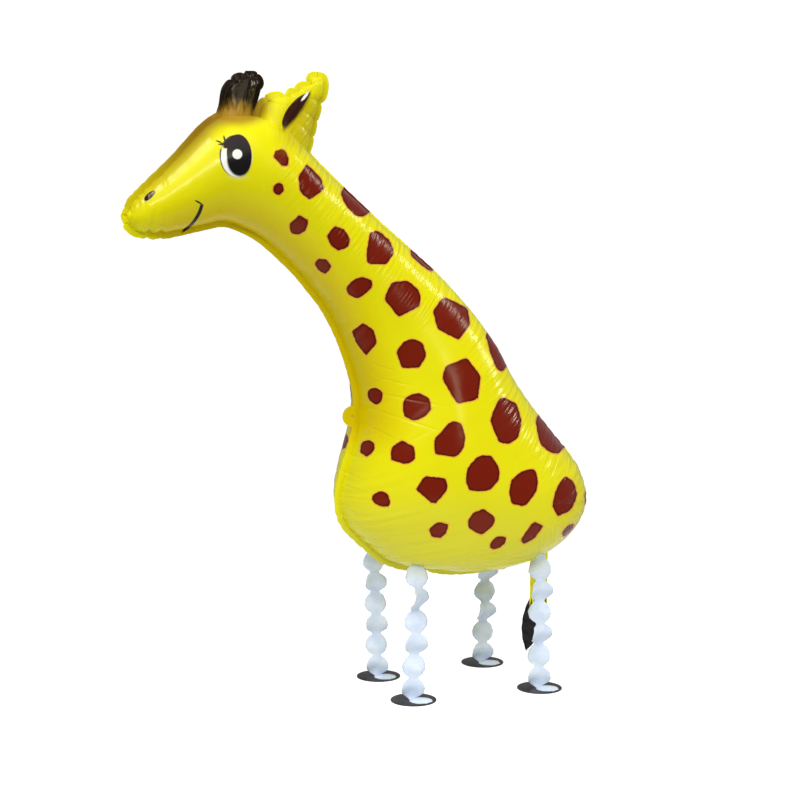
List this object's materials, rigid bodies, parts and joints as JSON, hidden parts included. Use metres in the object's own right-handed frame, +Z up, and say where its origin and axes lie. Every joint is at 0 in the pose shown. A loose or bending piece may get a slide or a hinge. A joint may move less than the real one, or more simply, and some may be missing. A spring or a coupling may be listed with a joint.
{
  "type": "giraffe foil balloon",
  "caption": "Walking giraffe balloon: one inflated printed foil envelope on four folded paper legs with round card feet, and a flat foil tail.",
  "frame": {"origin": "on the floor, under the middle of the balloon's bounding box", "axes": "+Z up; the head points to -X and the rump to +X; +Y is the animal's right side, and the seam lies in the plane Y = 0"},
  "size_m": [0.71, 0.278, 0.892],
  "materials": {
    "printed_foil": "glossy yellow foil printed with red-brown spots",
    "tail_foil": "glossy yellow foil with a black tuft",
    "leg_paper": "matt white crepe paper",
    "foot_card": "satin black card"
  },
  "bodies": {
    "root": {"foil_body": "printed_foil", "tail": "tail_foil", "leg_front_right": "leg_paper", "leg_front_left": "leg_paper", "leg_rear_right": "leg_paper", "leg_rear_left": "leg_paper", "foot_front_right": "foot_card", "foot_front_left": "foot_card", "foot_rear_right": "foot_card", "foot_rear_left": "foot_card"}
  },
  "joints": []
}
